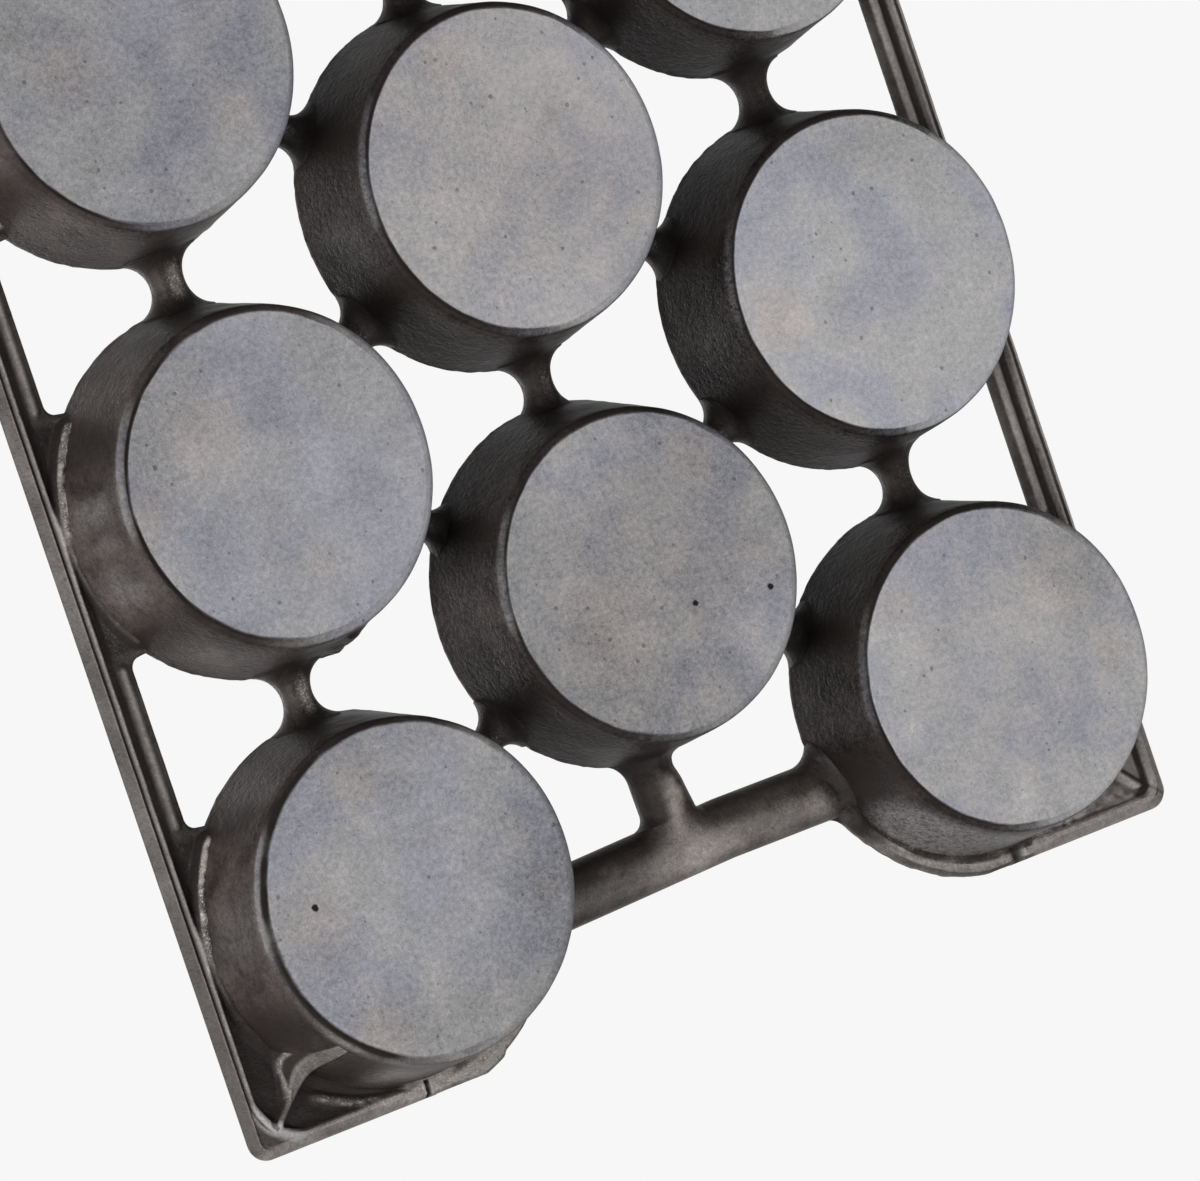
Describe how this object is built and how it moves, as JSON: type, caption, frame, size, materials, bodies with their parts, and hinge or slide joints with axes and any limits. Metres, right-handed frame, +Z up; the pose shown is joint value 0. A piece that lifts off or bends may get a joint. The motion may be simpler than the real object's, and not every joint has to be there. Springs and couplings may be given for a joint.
{
  "type": "gem pan",
  "caption": "Cast-iron gem pan: shallow round flat-bottomed cups in staggered columns, joined by webs in a thin frame with a handle bar at each end.",
  "frame": {"origin": "under the middle cup, at the level of the flat cup bottoms that the pan stands on", "axes": "+Z up with the cup mouths up, as the pan is used; +Y along the pan through its two end handles; +X across it"},
  "size_m": [0.1904, 0.2846, 0.02],
  "materials": {
    "cup_iron": "seasoned, worn grey on the flat bottoms, satin",
    "frame_iron": "seasoned brown-black, satin",
    "web_iron": "seasoned black, rough cast grain",
    "handle_iron": "seasoned brown-black, worn satin on the crown"
  },
  "bodies": {
    "root": {"cup_left_1": "cup_iron", "cup_left_2": "cup_iron", "cup_left_3": "cup_iron", "cup_left_4": "cup_iron", "cup_middle_1": "cup_iron", "cup_middle_2": "cup_iron", "cup_middle_3": "cup_iron", "cup_right_1": "cup_iron", "cup_right_2": "cup_iron", "cup_right_3": "cup_iron", "cup_right_4": "cup_iron", "side_rail_left": "frame_iron", "side_rail_right": "frame_iron", "end_flange_front_left": "frame_iron", "end_flange_front_right": "frame_iron", "end_flange_back_left": "frame_iron", "end_flange_back_right": "frame_iron", "corner_web_front_left": "web_iron", "corner_web_front_right": "web_iron", "corner_web_back_left": "web_iron", "corner_web_back_right": "web_iron", "corner_rib_front_left": "web_iron", "corner_rib_front_right": "web_iron", "corner_rib_back_left": "web_iron", "corner_rib_back_right": "web_iron", "handle_bar_front": "handle_iron", "handle_bar_back": "handle_iron", "handle_stem_front": "handle_iron", "handle_stem_back": "handle_iron", "strut_left_1": "web_iron", "strut_left_2": "web_iron", "strut_left_3": "web_iron", "strut_middle_1": "web_iron", "strut_middle_2": "web_iron", "strut_right_1": "web_iron", "strut_right_2": "web_iron", "strut_right_3": "web_iron", "web_left_1_front": "web_iron", "web_left_1_back": "web_iron", "web_left_2_front": "web_iron", "web_left_2_back": "web_iron", "web_left_3_front": "web_iron", "web_left_3_back": "web_iron", "web_right_1_front": "web_iron", "web_right_1_back": "web_iron", "web_right_2_front": "web_iron", "web_right_2_back": "web_iron", "web_right_3_front": "web_iron", "web_right_3_back": "web_iron"}
  },
  "joints": []
}
